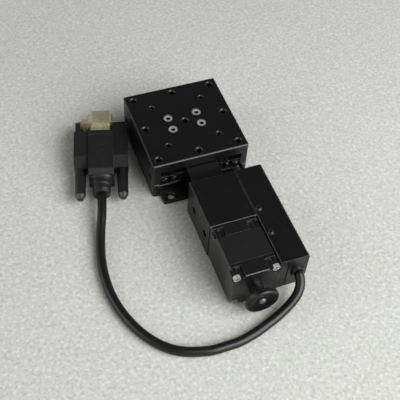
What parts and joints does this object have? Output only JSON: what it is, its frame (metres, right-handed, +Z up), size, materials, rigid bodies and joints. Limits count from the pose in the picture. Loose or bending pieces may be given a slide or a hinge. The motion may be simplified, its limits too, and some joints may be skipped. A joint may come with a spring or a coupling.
{
  "type": "linear translation stage",
  "caption": "Motorised crossed-roller linear stage with a tapped table, lead screw, stepper motor with hand knob, limit-sensor box and a short signal cable ending in a plug.",
  "frame": {"origin": "centre of the base on its mounting face", "axes": "+X across the stage, +Y along the travel away from the motor, +Z up out of the table"},
  "size_m": [0.1067, 0.1796, 0.0286],
  "materials": {
    "anodised": "black anodised, satin",
    "motor_black": "black satin",
    "screw_black": "black oxide",
    "bright_steel": "bright",
    "rail_steel": "ground",
    "bronze": "machined",
    "copper": "enamelled wire",
    "coupling_alloy": "machined",
    "black_plastic": "moulded",
    "rubber": "matt",
    "board": "solder mask",
    "plated": "yellowed zinc plate with rust",
    "insert": "moulded"
  },
  "bodies": {
    "frame": {"base": "anodised", "inner_rail_left": "rail_steel", "inner_rail_right": "rail_steel", "inner_rail_screws": "screw_black", "inner_rail_end_screws": "screw_black", "bearing_housing": "anodised", "bearing_housing_screws": "screw_black", "screw_bearings": "bright_steel", "rear_support": "anodised", "rear_support_screws": "screw_black", "tail_bearing": "bright_steel", "coupling_housing": "anodised", "housing_screws": "screw_black", "motor_front_bell": "motor_black", "motor_stator": "motor_black", "motor_coils": "copper", "motor_rear_bell": "motor_black", "motor_bolts": "bright_steel", "motor_bearings": "bright_steel", "sensor_bracket": "anodised", "bracket_screws": "screw_black", "sensor_cover": "anodised", "cover_screws": "screw_black", "sensor_board": "board", "board_screws": "bright_steel", "limit_sensors": "black_plastic", "cable_grommet": "rubber", "cable": "rubber", "connector_hood": "black_plastic", "strain_relief": "black_plastic", "connector_shell": "plated", "connector_insert": "insert", "connector_contacts": "bronze"},
    "table": {"table": "anodised", "outer_rail_left": "rail_steel", "outer_rail_right": "rail_steel", "outer_rail_screws": "screw_black", "outer_rail_end_screws": "screw_black", "nut_bracket": "anodised", "lead_nut": "bronze", "nut_screws": "screw_black", "table_screws": "bright_steel", "sensor_flag": "anodised"},
    "spindle": {"lead_screw": "bright_steel", "lock_nut": "bright_steel", "coupling": "coupling_alloy", "coupling_set_screws": "screw_black", "motor_shaft": "bright_steel", "motor_rotor": "rail_steel", "knob": "anodised", "knob_screw": "bright_steel"},
    "left_cage": {"cage_left": "bronze", "rollers_left": "bright_steel"},
    "right_cage": {"cage_right": "bronze", "rollers_right": "bright_steel"},
    "left_thumbscrew": {"thumbscrew_left": "black_plastic"},
    "right_thumbscrew": {"thumbscrew_right": "black_plastic"}
  },
  "joints": [
    {"name": "screw_spin", "type": "hinge", "parent": "frame", "child": "spindle", "pos_m": [0, -0.05, 0.0137], "axis": [0, 1, 0], "range_deg": [-3600, 3600]},
    {"name": "table_slide", "type": "slide", "parent": "frame", "child": "table", "axis": [0, 1, 0], "range_m": [-0.01, 0.01]},
    {"name": "left_cage_slide", "type": "slide", "parent": "frame", "child": "left_cage", "axis": [0, 1, 0], "range_m": [-0.005, 0.005]},
    {"name": "right_cage_slide", "type": "slide", "parent": "frame", "child": "right_cage", "axis": [0, 1, 0], "range_m": [-0.005, 0.005]},
    {"name": "left_thumbscrew_spin", "type": "hinge", "parent": "frame", "child": "left_thumbscrew", "pos_m": [-0.05807, 0.03024, 0.00775], "axis": [0.2588, 0.9659, 0], "continuous": true},
    {"name": "right_thumbscrew_spin", "type": "hinge", "parent": "frame", "child": "right_thumbscrew", "pos_m": [-0.03393, 0.02377, 0.00775], "axis": [0.2588, 0.9659, 0], "continuous": true}
  ],
  "couplings": [
    {"joint": "screw_spin", "follows": "table_slide", "rad_per_m": -6283.2},
    {"joint": "left_cage_slide", "follows": "table_slide", "ratio": 0.5},
    {"joint": "right_cage_slide", "follows": "table_slide", "ratio": 0.5}
  ]
}
